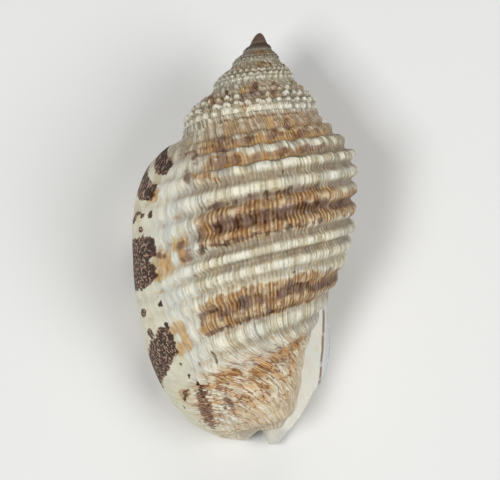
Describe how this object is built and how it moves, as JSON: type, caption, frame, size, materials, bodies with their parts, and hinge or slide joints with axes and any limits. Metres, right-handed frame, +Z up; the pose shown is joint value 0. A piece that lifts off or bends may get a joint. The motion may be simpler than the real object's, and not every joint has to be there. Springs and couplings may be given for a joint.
{
  "type": "morum sea shell",
  "caption": "Stout spiral sea shell with a short pointed spire, a long last whorl ridged by spiral cords, a thick toothed lip and a narrow mouth; rests mouth side down.",
  "frame": {"origin": "on the surface the shell rests on, under the middle of its bounding box", "axes": "+Z up through the back of the shell, +Y towards the apex of the spire, +X towards the side with the free edge of the shield; the mouth faces down"},
  "size_m": [0.0328, 0.0584, 0.0282],
  "materials": {
    "shell": "satin, cream white with orange-brown bands and dark brown spots"
  },
  "bodies": {
    "root": {"shell": "shell"}
  },
  "joints": []
}
